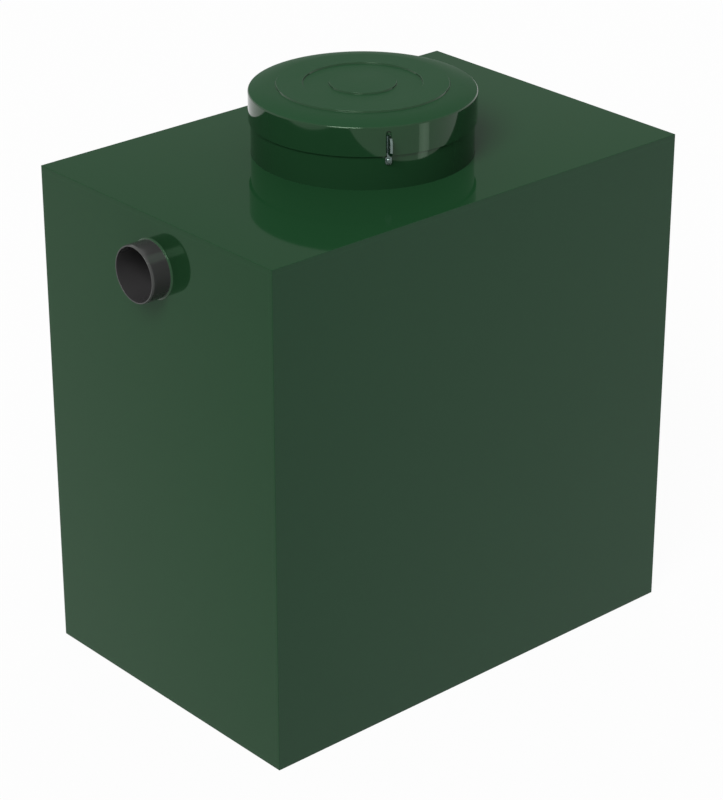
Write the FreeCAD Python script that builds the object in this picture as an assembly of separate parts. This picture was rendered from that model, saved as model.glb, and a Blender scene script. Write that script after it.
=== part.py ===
import FreeCAD, Part
import math
import os
from FreeCAD import Vector

# Grease trap for a kitchen drain, millimetres.
# A box tank welded from plastic sheet stands on its floor. Waste water comes in through a pipe stub
# in one end wall, drops through a tee and a dip pipe, passes over a weir and under a baffle, and
# leaves through a second dip pipe. A round neck in the top takes a moulded lid that lifts straight off.
# The origin is the middle of the tank's underside, X runs from the inlet to the outlet, Z is up.

# Tank
tank_length = 1000.0
tank_width = 665.0
tank_height = 1000.0
sheet = 10.0

# Pipework
pipe_radius = 55.0
pipe_wall = 3.2
stub_reach = 43.0
inlet_below_top = 102.0
outlet_fall = 40.0
weld_leg = 3.0
end_chamfer_length = 4.0
end_chamfer_depth = 1.2
socket_depth = 56.0
socket_wall = 3.4
socket_clearance = 0.5
socket_root_gap = 4.0
socket_to_wall = 12.0
branch_neck = 60.0
bead_length = 17.0
bead_from_mouth = 7.0
bead_chamfer = 2.5
seal_length = 9.0
seal_height = 5.0
seal_clearance = 0.2
seal_lip = 1.6
tee_above_axis = 74.0
tee_below_axis = 78.0
inlet_dip_level = 400.0
outlet_dip_level = 300.0
pipe_hole_clearance = 0.3
bracket_above_foot = 60.0
bracket_margin = 22.0
bracket_thickness = 10.0

# Weir, baffle and wall ribs
weir_from_inlet = 250.0
weir_height = 600.0
baffle_from_outlet = 230.0
baffle_gap_below = 190.0
vent_radius = 25.0
rib_depth = 50.0
rib_thickness = 10.0
rib_lower_level = 330.0
rib_upper_level = 660.0
rib_clearance = 0.3

# Manhole neck and its seal
neck_radius = 210.0
neck_wall = 6.0
neck_hole_clearance = 0.3
gasket_height = 6.0
gasket_leg = 2.0
gasket_leg_length = 12.0
gasket_facet_count = 4

# Lid, with heights counted from the tank's top
lid_edge_height = 121.0
lid_skirt_length = 56.0
lid_skirt_wall = 3.0
lid_skirt_clearance = 1.0
lid_wall = 4.0
lid_slope_rise = 9.5
lid_seat_depth = 4.0
lid_seat_width = 11.0
lid_seat_gap = 0.3
lid_step_height = 2.5
lid_step_draft = 1.0
lid_outer_step_radius = 162.5
lid_inner_step_radius = 112.0
lid_disc_radius = 63.5
lid_edge_round = 3.0
lid_edge_facet_count = 3
notch_width = 10.0
notch_top_drop = 8.0

# Padlock eye on the neck and its bolt
eye_angle = -119.0
eye_gap = 0.3
eye_plate = 3.0
eye_foot_width = 12.0
eye_foot_height = 14.0
eye_foot_drop = 2.0
eye_stem_width = 6.0
eye_fin_thickness = 4.0
eye_fin_reach = 26.0
eye_fin_bottom = 5.0
eye_fin_height = 34.0
eye_fin_round = 9.0
eye_hole_radius = 4.5
bolt_radius = 2.5
bolt_hole_clearance = 0.3
bolt_head_across_flats = 8.0
bolt_head_height = 3.5
bolt_head_chamfer = 0.3
bolt_tail = 2.0
nut_height = 4.0
washer_radius = 5.0
washer_thickness = 1.0

# Places that follow from the sizes above
half_length = tank_length / 2
half_width = tank_width / 2
inner_x = half_length - sheet
inner_y = half_width - sheet
floor_level = sheet
ceiling_level = tank_height - sheet
inlet_level = tank_height - inlet_below_top
outlet_level = inlet_level - outlet_fall
pipe_bore = pipe_radius - pipe_wall
socket_bore = pipe_radius + socket_clearance
socket_outer = socket_bore + socket_wall
bead_bore = socket_bore + seal_height
bead_outer = bead_bore + socket_wall
dip_from_wall = socket_to_wall + socket_depth + branch_neck
neck_bore = neck_radius - neck_wall
neck_height = lid_edge_height - lid_seat_depth - lid_seat_gap - gasket_height
rim_level = tank_height + neck_height
skirt_bore = neck_radius + lid_skirt_clearance
lid_radius = skirt_bore + lid_skirt_wall
lid_edge_level = tank_height + lid_edge_height
skirt_level = lid_edge_level - lid_skirt_length
eye_back = neck_radius + eye_gap
eye_front = eye_back + eye_plate
bolt_level = skirt_level - eye_foot_drop - eye_foot_height / 2

# Points nearer than this are taken as one place
same_place = 0.01

os.makedirs("parts", exist_ok=True)


def save(name, shape):
    shape.exportStep(os.path.join("parts", name + ".step"))
    print(name, len(shape.Solids), "solid", round(shape.Volume / 1000.0, 1), "cm3")


def block(x0, x1, y0, y1, z0, z1):
    return Part.makeBox(x1 - x0, y1 - y0, z1 - z0, Vector(x0, y0, z0))


def cylinder(radius, start, direction, length):
    return Part.makeCylinder(radius, length, start, direction)


# A closed outline in radius and height, turned about the Z axis
def turned(points):
    outline = Part.makePolygon([Vector(r, 0, z) for r, z in points + points[:1]])
    return Part.Face(outline).revolve(Vector(0, 0, 0), Vector(0, 0, 1), 360)


# Points of a round corner in an outline, as facets between two angles in degrees
def round_points(centre_radius, centre_height, size, first_angle, last_angle, facet_count):
    points = []
    for i in range(facet_count + 1):
        angle = math.radians(first_angle + (last_angle - first_angle) * i / facet_count)
        points.append((centre_radius + size * math.cos(angle), centre_height + size * math.sin(angle)))
    return points


# Stand a piece turned about Z on a wall of the tank: its Z axis then points out along X
def along_x(shape, side, place):
    laid = shape.copy()
    laid.rotate(Vector(0, 0, 0), Vector(0, 1, 0), 90 * side)
    laid.translate(place)
    return laid


# Tank shell
def plate_floor():
    return block(-half_length, half_length, -half_width, half_width, 0, floor_level)


def plate_top():
    plate = block(-half_length, half_length, -half_width, half_width, ceiling_level, tank_height)
    hole = cylinder(neck_radius + neck_hole_clearance, Vector(0, 0, ceiling_level), Vector(0, 0, 1), sheet)
    return plate.cut(hole)


def long_wall(side):
    y0, y1 = sorted((side * inner_y, side * half_width))
    return block(-half_length, half_length, y0, y1, floor_level, ceiling_level)


def end_wall(side, level):
    x0, x1 = sorted((side * inner_x, side * half_length))
    wall = block(x0, x1, -inner_y, inner_y, floor_level, ceiling_level)
    hole = cylinder(pipe_radius + pipe_hole_clearance, Vector(x0, 0, level), Vector(1, 0, 0), sheet)
    return wall.cut(hole)


# Long flat bars stand on edge along the inside of each long wall
def wall_rib(side, level, clearance=0.0):
    y0, y1 = sorted((side * (inner_y - rib_depth - clearance), side * inner_y))
    z0 = level - rib_thickness / 2 - clearance
    z1 = level + rib_thickness / 2 + clearance
    return block(-inner_x, inner_x, y0, y1, z0, z1)


def cut_for_ribs(plate):
    for side in (-1, 1):
        for level in (rib_lower_level, rib_upper_level):
            plate = plate.cut(wall_rib(side, level, rib_clearance))
    return plate


def sludge_weir():
    x0 = -inner_x + weir_from_inlet
    plate = block(x0, x0 + sheet, -inner_y, inner_y, floor_level, weir_height)
    return cut_for_ribs(plate)


def grease_baffle():
    x1 = inner_x - baffle_from_outlet
    plate = block(x1 - sheet, x1, -inner_y, inner_y, floor_level + baffle_gap_below, ceiling_level)
    vent = cylinder(vent_radius, Vector(x1 - sheet, 0, ceiling_level), Vector(1, 0, 0), sheet)
    return cut_for_ribs(plate).cut(vent)


# Pipes: a plain tube through the end wall, with its weld bead on the wall and a chamfered free end
def pipe_stub(side, level):
    inner_end = -(sheet + socket_to_wall + socket_depth - socket_root_gap)
    chamfer_start = stub_reach - end_chamfer_length
    points = [
        (pipe_bore, inner_end),
        (pipe_radius, inner_end),
        (pipe_radius, 0),
        (pipe_radius + weld_leg, 0),
        (pipe_radius, weld_leg),
        (pipe_radius, chamfer_start),
        (pipe_radius - end_chamfer_depth, stub_reach),
        (pipe_bore, stub_reach),
    ]
    return along_x(turned(points), side, Vector(side * half_length, 0, level))


# Outside of a socket that opens upwards at height 0, down to the plain tube at its root
def socket_outline():
    bead_end = -bead_from_mouth - bead_length
    return [
        (0, 0),
        (socket_outer, 0),
        (socket_outer, -bead_from_mouth),
        (bead_outer, -bead_from_mouth - bead_chamfer),
        (bead_outer, bead_end + bead_chamfer),
        (socket_outer, bead_end),
        (socket_outer, -socket_depth),
        (pipe_radius, -socket_depth - socket_wall - socket_clearance),
    ]


# Space inside the socket: the pipe's seat and the groove for the ring seal
def socket_space():
    seat = cylinder(socket_bore, Vector(0, 0, -socket_depth), Vector(0, 0, 1), socket_depth)
    groove_base = -bead_from_mouth - (bead_length + seal_length) / 2 - seal_clearance
    groove_length = seal_length + 2 * seal_clearance
    groove = cylinder(bead_bore, Vector(0, 0, groove_base), Vector(0, 0, 1), groove_length)
    return seat.fuse(groove)


def ring_seal():
    base = -bead_from_mouth - (bead_length + seal_length) / 2
    outer = bead_bore - seal_clearance
    inner = pipe_radius + seal_clearance
    points = [
        (outer, base),
        (outer, base + seal_length),
        (inner + seal_lip, base + seal_length),
        (inner + seal_lip, base + seal_length - seal_lip),
        (inner, base + seal_length / 2),
        (inner, base + seal_length / 2 - seal_lip),
        (inner + seal_lip, base),
    ]
    return turned(points)


# Tee: its branch socket faces the wall, its run is upright and open at the top
def tee(side, level):
    axis_x = side * (inner_x - dip_from_wall)
    centre = Vector(axis_x, 0, level)
    reach = socket_depth + branch_neck
    branch = turned(socket_outline() + [(pipe_radius, -reach), (0, -reach)])
    mouth = Vector(side * (inner_x - socket_to_wall), 0, level)
    run_length = tee_above_axis + tee_below_axis + socket_depth - socket_root_gap
    run_foot = Vector(axis_x, 0, level + tee_above_axis - run_length)
    run = cylinder(pipe_radius, run_foot, Vector(0, 0, 1), run_length)
    body = along_x(branch, side, mouth).fuse(run)
    body = body.cut(along_x(socket_space(), side, mouth))
    body = body.cut(cylinder(pipe_bore, centre, Vector(side, 0, 0), reach))
    return body.cut(cylinder(pipe_bore, run_foot, Vector(0, 0, 1), run_length))


def tee_seal(side, level):
    return along_x(ring_seal(), side, Vector(side * (inner_x - socket_to_wall), 0, level))


# Dip pipe: its socket takes the tee's lower end
def dip_mouth(side, level):
    return Vector(side * (inner_x - dip_from_wall), 0, level - tee_below_axis)


def dip_pipe(side, level, foot_level):
    mouth = dip_mouth(side, level)
    length = mouth.z - foot_level
    body = turned(socket_outline() + [(pipe_radius, -length), (0, -length)])
    body = body.cut(socket_space())
    body = body.cut(cylinder(pipe_bore, Vector(0, 0, -length), Vector(0, 0, 1), length))
    body.translate(mouth)
    return body


def dip_seal(side, level):
    seal = ring_seal()
    seal.translate(dip_mouth(side, level))
    return seal


# A plate welded to the end wall holds the dip pipe upright
def pipe_bracket(side, foot_level):
    axis_x = inner_x - dip_from_wall
    half_plate = pipe_radius + bracket_margin
    base_z = foot_level + bracket_above_foot - bracket_thickness / 2
    base = Vector(side * axis_x, 0, base_z)
    x0, x1 = sorted((side * axis_x, side * inner_x))
    arm = block(x0, x1, -half_plate, half_plate, base_z, base_z + bracket_thickness)
    plate = arm.fuse(cylinder(half_plate, base, Vector(0, 0, 1), bracket_thickness))
    hole = cylinder(pipe_radius + pipe_hole_clearance, base, Vector(0, 0, 1), bracket_thickness)
    return plate.cut(hole).removeSplitter()


# Shank space for the eye's bolt, along X at angle 0
def bolt_hole():
    start = Vector(neck_bore - neck_wall, 0, bolt_level)
    return cylinder(bolt_radius + bolt_hole_clearance, start, Vector(1, 0, 0), 4 * neck_wall)


def turned_to_eye(shape):
    shape.rotate(Vector(0, 0, 0), Vector(0, 0, 1), eye_angle)
    return shape


def neck():
    tube = turned([(neck_bore, ceiling_level), (neck_radius, ceiling_level),
                   (neck_radius, rim_level), (neck_bore, rim_level)])
    return tube.cut(turned_to_eye(bolt_hole()))


# Domed seal on the neck's rim, with a leg down the neck's inside
def neck_gasket():
    dome_round = neck_wall / 2
    shoulder = rim_level + gasket_height - dome_round
    leg_bore = neck_bore - gasket_leg
    dome = round_points(neck_radius - dome_round, shoulder, dome_round, 0, 180, gasket_facet_count)
    leg = [
        (leg_bore, shoulder - gasket_leg),
        (leg_bore, rim_level - gasket_leg_length),
        (neck_bore, rim_level - gasket_leg_length),
        (neck_bore, rim_level),
        (neck_radius, rim_level),
    ]
    return turned(dome + leg)


# Lid: one moulded shell with a sloped edge, a raised ring, a sunk ring and a raised disc
def lid():
    edge = lid_edge_level
    shelf = edge + lid_slope_rise
    raised = shelf + lid_step_height
    slope = lid_slope_rise / (lid_radius - lid_outer_step_radius)
    seat = edge - lid_seat_depth
    seat_inner = skirt_bore - lid_seat_width
    seat_root = edge + (lid_radius - seat_inner) * slope - lid_wall
    outer_step_top = lid_outer_step_radius - lid_step_draft
    inner_step_foot = lid_inner_step_radius - lid_step_draft
    disc_top = lid_disc_radius - lid_step_draft
    slope_angle = math.degrees(math.atan(slope))
    round_centre = edge - lid_edge_round * math.tan(math.radians(45 - slope_angle / 2))
    points = [(lid_radius, skirt_level)]
    points += round_points(lid_radius - lid_edge_round, round_centre, lid_edge_round,
                           0, 90 - slope_angle, lid_edge_facet_count)
    points += [
        (lid_outer_step_radius, shelf),
        (outer_step_top, raised),
        (lid_inner_step_radius, raised),
        (inner_step_foot, shelf),
        (lid_disc_radius, shelf),
        (disc_top, raised),
        (0, raised),
        (0, raised - lid_wall),
        (disc_top - lid_wall, raised - lid_wall),
        (lid_disc_radius - lid_wall, shelf - lid_wall),
        (inner_step_foot + lid_wall, shelf - lid_wall),
        (lid_inner_step_radius + lid_wall, raised - lid_wall),
        (outer_step_top - lid_wall, raised - lid_wall),
        (lid_outer_step_radius - lid_wall, shelf - lid_wall),
        (seat_inner, seat_root),
        (seat_inner, seat),
        (skirt_bore, seat),
        (skirt_bore, skirt_level),
    ]
    shell = turned(points)
    notch_top = edge - notch_top_drop
    notch = block(neck_radius, lid_radius + lid_skirt_wall, -notch_width / 2, notch_width / 2,
                  skirt_level - lid_skirt_wall, notch_top - notch_width / 2)
    arch = cylinder(notch_width / 2, Vector(neck_radius, 0, notch_top - notch_width / 2),
                    Vector(1, 0, 0), lid_radius + lid_skirt_wall - neck_radius)
    return shell.cut(turned_to_eye(notch.fuse(arch)))


# Padlock eye: a foot bolted to the neck, a stem up the notch and a drilled fin that stands out
def neck_eye():
    foot_top = skirt_level - eye_foot_drop
    foot = block(eye_back, eye_front, -eye_foot_width / 2, eye_foot_width / 2,
                 foot_top - eye_foot_height, foot_top)
    fin_bottom = skirt_level + eye_fin_bottom
    fin_top = fin_bottom + eye_fin_height
    stem = block(eye_back, eye_front, -eye_stem_width / 2, eye_stem_width / 2, foot_top, fin_top)
    fin = block(eye_back, eye_back + eye_fin_reach, -eye_fin_thickness / 2, eye_fin_thickness / 2,
                fin_bottom, fin_top)
    corners = [edge for edge in fin.Edges
               if abs(edge.CenterOfMass.x - eye_back - eye_fin_reach) < same_place
               and abs(edge.CenterOfMass.y) < same_place]
    fin = fin.makeFillet(eye_fin_round, corners)
    hole_x = eye_back + eye_fin_reach - eye_fin_round
    hole_start = Vector(hole_x, -eye_fin_thickness, (fin_bottom + fin_top) / 2)
    fin = fin.cut(cylinder(eye_hole_radius, hole_start, Vector(0, 1, 0), 2 * eye_fin_thickness))
    return turned_to_eye(foot.fuse(stem).fuse(fin).cut(bolt_hole()).removeSplitter())


def hexagon(across_flats, x, length):
    sides = 6
    corner = across_flats / 2 / math.cos(math.pi / sides)
    points = []
    for i in range(sides + 1):
        angle = 2 * math.pi * i / sides
        points.append(Vector(x, corner * math.cos(angle), bolt_level + corner * math.sin(angle)))
    return Part.Face(Part.makePolygon(points)).extrude(Vector(length, 0, 0))


def washer_inner_face():
    return math.sqrt(neck_bore ** 2 - washer_radius ** 2)


def eye_bolt():
    tail_x = washer_inner_face() - washer_thickness - nut_height - bolt_tail
    shank = cylinder(bolt_radius, Vector(tail_x, 0, bolt_level), Vector(1, 0, 0), eye_front - tail_x)
    head = hexagon(bolt_head_across_flats, eye_front, bolt_head_height)
    end_radius = bolt_head_across_flats / 2 - bolt_head_chamfer
    cone = Part.makeCone(end_radius + bolt_head_height, end_radius, bolt_head_height,
                         Vector(eye_front, 0, bolt_level), Vector(1, 0, 0))
    return turned_to_eye(shank.fuse(head.common(cone)).removeSplitter())


def eye_washer():
    x0 = washer_inner_face() - washer_thickness
    ring = cylinder(washer_radius, Vector(x0, 0, bolt_level), Vector(1, 0, 0), washer_thickness)
    return turned_to_eye(ring.cut(bolt_hole()))


def eye_nut():
    x0 = washer_inner_face() - washer_thickness - nut_height
    nut = hexagon(bolt_head_across_flats, x0, nut_height)
    bore = cylinder(bolt_radius, Vector(x0, 0, bolt_level), Vector(1, 0, 0), nut_height)
    return turned_to_eye(nut.cut(bore))


save("floor_plate", plate_floor())
save("front_wall", long_wall(-1))
save("rear_wall", long_wall(1))
save("inlet_wall", end_wall(-1, inlet_level))
save("outlet_wall", end_wall(1, outlet_level))
save("top_plate", plate_top())
save("sludge_weir", sludge_weir())
save("grease_baffle", grease_baffle())
for side_name, side in (("front", -1), ("rear", 1)):
    save("lower_rib_" + side_name, wall_rib(side, rib_lower_level))
    save("upper_rib_" + side_name, wall_rib(side, rib_upper_level))
for end_name, side, level, foot in (("inlet", -1, inlet_level, inlet_dip_level),
                                    ("outlet", 1, outlet_level, outlet_dip_level)):
    save(end_name + "_pipe", pipe_stub(side, level))
    save(end_name + "_tee", tee(side, level))
    save(end_name + "_tee_seal", tee_seal(side, level))
    save(end_name + "_dip_pipe", dip_pipe(side, level, foot))
    save(end_name + "_dip_seal", dip_seal(side, level))
    save(end_name + "_pipe_bracket", pipe_bracket(side, foot))
save("neck", neck())
save("neck_gasket", neck_gasket())
save("neck_eye", neck_eye())
save("eye_bolt", eye_bolt())
save("eye_washer", eye_washer())
save("eye_nut", eye_nut())
save("lid", lid())
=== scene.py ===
import bmesh
import bpy
import math
from mathutils import Matrix, Vector


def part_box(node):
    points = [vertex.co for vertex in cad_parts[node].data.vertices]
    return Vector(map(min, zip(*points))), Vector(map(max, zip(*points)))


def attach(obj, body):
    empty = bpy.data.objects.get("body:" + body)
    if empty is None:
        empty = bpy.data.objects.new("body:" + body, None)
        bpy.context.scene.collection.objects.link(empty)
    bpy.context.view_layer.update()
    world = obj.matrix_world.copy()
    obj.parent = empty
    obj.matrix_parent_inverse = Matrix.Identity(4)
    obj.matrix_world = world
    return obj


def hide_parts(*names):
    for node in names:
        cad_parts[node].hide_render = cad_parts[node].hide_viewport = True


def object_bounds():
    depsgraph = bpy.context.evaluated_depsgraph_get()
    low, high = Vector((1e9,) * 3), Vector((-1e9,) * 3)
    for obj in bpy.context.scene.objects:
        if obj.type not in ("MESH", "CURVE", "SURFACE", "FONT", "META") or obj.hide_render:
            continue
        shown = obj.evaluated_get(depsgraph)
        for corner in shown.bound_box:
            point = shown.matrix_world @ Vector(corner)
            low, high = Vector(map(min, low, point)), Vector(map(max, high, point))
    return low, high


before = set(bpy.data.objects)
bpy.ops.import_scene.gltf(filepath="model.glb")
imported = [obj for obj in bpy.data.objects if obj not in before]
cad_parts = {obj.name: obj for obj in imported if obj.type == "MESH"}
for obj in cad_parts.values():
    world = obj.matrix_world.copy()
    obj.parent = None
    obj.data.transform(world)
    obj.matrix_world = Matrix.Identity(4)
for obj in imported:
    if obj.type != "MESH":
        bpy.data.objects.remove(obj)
cadBox = [list(corner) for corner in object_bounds()]

# Grease trap of welded green sheet, metres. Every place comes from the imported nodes' boxes.

places = {
    "tankLow": Vector(cadBox[0]),
    "frontFace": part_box("front_wall")[0].y,
    "rearFace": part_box("rear_wall")[1].y,
    "inletFace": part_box("inlet_wall")[0].x,
    "outletFace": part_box("outlet_wall")[1].x,
    "ceiling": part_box("top_plate")[0].z,
    "topFace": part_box("top_plate")[1].z,
    "floorFace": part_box("floor_plate")[1].z,
}


# Small helpers for meshes

meshSettings = {
    "creaseAngle": 32,
    "flatWeight": 100,
    "arcSteps": 5,
    "segments": 160,
    "cutterSegments": 48,
    "onAxis": 1e-7,
    "mergeDistance": 1e-6,
}
overrun = 0.01  # how far a cutter passes what it cuts


def linkPiece(name, mesh):
    piece = bpy.data.objects.new(name, mesh)
    bpy.context.scene.collection.objects.link(piece)
    return piece


def freshMesh(piece):  # the evaluated shape as a plain mesh, with its modifiers used up
    evaluated = piece.evaluated_get(bpy.context.evaluated_depsgraph_get())
    mesh = bpy.data.meshes.new_from_object(evaluated)
    piece.modifiers.clear()
    piece.data = mesh
    return piece


def markCreases(mesh, creaseAngle=meshSettings["creaseAngle"]):
    shape = bmesh.new()
    shape.from_mesh(mesh)
    for face in shape.faces:
        face.smooth = True
    for edge in shape.edges:
        edge.smooth = len(edge.link_faces) == 2 and edge.calc_face_angle() < math.radians(creaseAngle)
    shape.to_mesh(mesh)
    shape.free()


def evenShading(piece):  # large flats keep their own direction beside narrow roundings
    modifier = piece.modifiers.new("evenShading", "WEIGHTED_NORMAL")
    modifier.keep_sharp = True
    modifier.weight = meshSettings["flatWeight"]
    return freshMesh(piece)


def combined(piece, other, operation):  # a boolean of two closed pieces, of which the second is used up
    modifier = piece.modifiers.new("combined", "BOOLEAN")
    modifier.operation = operation
    modifier.solver = "EXACT"
    modifier.object = other
    freshMesh(piece)
    bpy.data.objects.remove(other)
    return piece


def cutWith(piece, cutter):
    return combined(piece, cutter, "DIFFERENCE")


def joinWith(piece, other):
    return combined(piece, other, "UNION")


# An outline of (radius, height, rounding) corners with its roundings worked out as short arcs
def roundedOutline(corners, arcSteps=meshSettings["arcSteps"]):
    points = []
    for i, (radius, height, rounding) in enumerate(corners):
        here = Vector((radius, height))
        if rounding == 0:
            points.append(here)
            continue
        before = Vector(corners[i - 1][:2]) - here
        after = Vector(corners[(i + 1) % len(corners)][:2]) - here
        opening = before.angle(after)
        reach = rounding / math.tan(opening / 2)
        toCentre = (before.normalized() + after.normalized()).normalized()
        centre = here + toCentre * (rounding / math.sin(opening / 2))
        start = here + before.normalized() * reach - centre
        sweep = math.pi - opening
        if start.y * toCentre.x - start.x * toCentre.y < 0:
            sweep = -sweep
        for step in range(arcSteps + 1):
            turn = sweep * step / arcSteps
            points.append(centre + Vector((start.x * math.cos(turn) - start.y * math.sin(turn),
                                           start.x * math.sin(turn) + start.y * math.cos(turn))))
    return points


def turnedPiece(name, outline, segments=meshSettings["segments"]):  # a closed outline turned about Z
    shape = bmesh.new()
    rings = []
    for point in outline:
        if point.x < meshSettings["onAxis"]:
            rings.append([shape.verts.new((0, 0, point.y))])
            continue
        ring = []
        for k in range(segments):
            angle = 2 * math.pi * k / segments
            ring.append(shape.verts.new((point.x * math.cos(angle), point.x * math.sin(angle), point.y)))
        rings.append(ring)
    for i, ring in enumerate(rings):
        following = rings[(i + 1) % len(rings)]
        if len(ring) == 1 and len(following) == 1:
            continue
        for k in range(segments):
            m = (k + 1) % segments
            if len(ring) == 1:
                shape.faces.new((ring[0], following[m], following[k]))
            elif len(following) == 1:
                shape.faces.new((ring[k], ring[m], following[0]))
            else:
                shape.faces.new((ring[k], ring[m], following[m], following[k]))
    if shape.calc_volume(signed=True) < 0:
        bmesh.ops.reverse_faces(shape, faces=shape.faces)
    mesh = bpy.data.meshes.new(name)
    shape.to_mesh(mesh)
    shape.free()
    return linkPiece(name, mesh)


def movePiece(piece, matrix):
    piece.data.transform(matrix)
    return piece


def boxCutter(low, high):
    shape = bmesh.new()
    bmesh.ops.create_cube(shape, size=1)
    size = Vector(high) - Vector(low)
    bmesh.ops.scale(shape, vec=size, verts=shape.verts)
    bmesh.ops.translate(shape, vec=(Vector(low) + Vector(high)) / 2, verts=shape.verts)
    mesh = bpy.data.meshes.new("cutter")
    shape.to_mesh(mesh)
    shape.free()
    return linkPiece("cutter", mesh)


def rodCutter(radius, start, end, segments=meshSettings["cutterSegments"]):
    span = Vector(end) - Vector(start)
    outline = [Vector((0, 0)), Vector((radius, 0)), Vector((radius, span.length)), Vector((0, span.length))]
    rod = turnedPiece("cutter", outline, segments)
    turn = Vector((0, 0, 1)).rotation_difference(span).to_matrix().to_4x4()
    return movePiece(rod, Matrix.Translation(start) @ turn)


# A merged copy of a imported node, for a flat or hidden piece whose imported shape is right
def mergedCopy(name, node, creaseAngle=meshSettings["creaseAngle"]):
    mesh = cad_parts[node].data.copy()
    mesh.materials.clear()
    shape = bmesh.new()
    shape.from_mesh(mesh)
    bmesh.ops.remove_doubles(shape, verts=shape.verts, dist=meshSettings["mergeDistance"])
    shape.to_mesh(mesh)
    shape.free()
    mesh.name = name
    markCreases(mesh, creaseAngle)
    return linkPiece(name, mesh)


def finishPiece(piece, material, body, slot, *nodes):
    if material is not None:
        piece.data.materials.clear()
        piece.data.materials.append(material)
    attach(piece, body)
    if nodes:
        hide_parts(*nodes)
    return piece


# Shader groups shared by the finishes

def newGroup(name, inputs, outputs):
    group = bpy.data.node_groups.new(name, "ShaderNodeTree")
    for label, kind, value in inputs:
        socket = group.interface.new_socket(label, in_out="INPUT", socket_type=kind)
        socket.default_value = value
    for label, kind in outputs:
        group.interface.new_socket(label, in_out="OUTPUT", socket_type=kind)
    return group, group.nodes.new("NodeGroupInput"), group.nodes.new("NodeGroupOutput")


def openSocket(sockets, key):  # some nodes hold several sockets of one name, of which one is in use
    if isinstance(key, int):
        return sockets[key]
    return next(socket for socket in sockets if socket.name == key and socket.enabled)


# A new node: settings are its properties, and links are its inputs, each a value or another node's socket
def addNode(tree, kind, links=None, **settings):
    node = tree.nodes.new(kind)
    for key, value in settings.items():
        setattr(node, key, value)
    for key, value in (links or {}).items():
        socket = openSocket(node.inputs, key)
        if isinstance(value, bpy.types.NodeSocket):
            tree.links.new(value, socket)
        else:
            socket.default_value = value
    return node


def worked(tree, operation, first, second):  # the result of one Math node
    return addNode(tree, "ShaderNodeMath", {0: first, 1: second}, operation=operation).outputs[0]


def cloudy(tree, place, scale, detail):  # the value of one Noise texture
    links = {"Vector": place, "Scale": scale, "Detail": detail}
    return addNode(tree, "ShaderNodeTexNoise", links).outputs["Fac"]


mottleSetting = {
    "scale": 6.0,
    "amount": 0.1,
    "broadDetail": 4.0,
    "fineScale": 160.0,
    "fineDetail": 2.0,
    "fineShare": 0.25,
}


def makeMottle():  # soft cloudy unevenness of a colour
    s = mottleSetting
    group, given, out = newGroup(
        "mottle",
        [("Colour", "NodeSocketColor", (0.5, 0.5, 0.5, 1)), ("Scale", "NodeSocketFloat", s["scale"]),
         ("Amount", "NodeSocketFloat", s["amount"])],
        [("Colour", "NodeSocketColor"), ("Mask", "NodeSocketFloat")])
    place = addNode(group, "ShaderNodeTexCoord").outputs["Object"]
    broad = cloudy(group, place, given.outputs["Scale"], s["broadDetail"])
    fine = cloudy(group, place, s["fineScale"], s["fineDetail"])
    blend = addNode(group, "ShaderNodeMix", {"Factor": s["fineShare"], "A": broad, "B": fine})
    both = blend.outputs["Result"]
    centred = worked(group, "SUBTRACT", both, 0.5)
    swing = worked(group, "MULTIPLY", centred, given.outputs["Amount"])
    level = worked(group, "ADD", swing, 1.0)
    tinted = addNode(group, "ShaderNodeHueSaturation", {"Color": given.outputs["Colour"], "Value": level})
    group.links.new(tinted.outputs["Color"], out.inputs["Colour"])
    group.links.new(both, out.inputs["Mask"])
    return group


scuffSetting = {  # a direction is a turn in radians and how far the lines are drawn out along each axis
    "scale": 3.0,
    "width": 0.02,
    "share": 0.35,
    "directions": ((0.35, (1.0, 14.0, 14.0)), (1.9, (14.0, 1.0, 9.0))),
    "tilt": (1.0, 0.6, 1.4),
    "patchScale": 4.0,
    "patchSpread": 3.0,
    "patchDetail": 2.0,
    "patchEdges": (0.55, 0.75),
}


def makeScuffs():  # thin straight handling scratches, running two ways
    s = scuffSetting
    group, given, out = newGroup(
        "scuffs",
        [("Scale", "NodeSocketFloat", s["scale"]), ("Width", "NodeSocketFloat", s["width"]),
         ("Share", "NodeSocketFloat", s["share"])],
        [("Mask", "NodeSocketFloat")])
    place = addNode(group, "ShaderNodeTexCoord").outputs["Object"]
    found = None
    for turn, stretch in s["directions"]:
        turned = addNode(group, "ShaderNodeMapping", {
            "Vector": place,
            "Rotation": [turn * share for share in s["tilt"]],
            "Scale": stretch,
        })
        lines = addNode(group, "ShaderNodeTexVoronoi", {
            "Vector": turned.outputs[0],
            "Scale": given.outputs["Scale"],
        }, feature="DISTANCE_TO_EDGE")
        near = worked(group, "LESS_THAN", lines.outputs["Distance"], given.outputs["Width"])
        patches = cloudy(group, place, s["patchScale"] + s["patchSpread"] * turn, s["patchDetail"])
        worn = addNode(group, "ShaderNodeMapRange", {
            "Value": patches,
            "From Min": s["patchEdges"][0],
            "From Max": s["patchEdges"][1],
            "To Max": given.outputs["Share"],
        })
        kept = worked(group, "MULTIPLY", near, worn.outputs[0])
        found = kept if found is None else worked(group, "MAXIMUM", found, kept)
    group.links.new(found, out.inputs["Mask"])
    return group


wearSetting = {
    "width": 0.0015,
    "reach": 0.35,
    "threshold": 0.02,
    "samples": 6,
}


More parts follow.
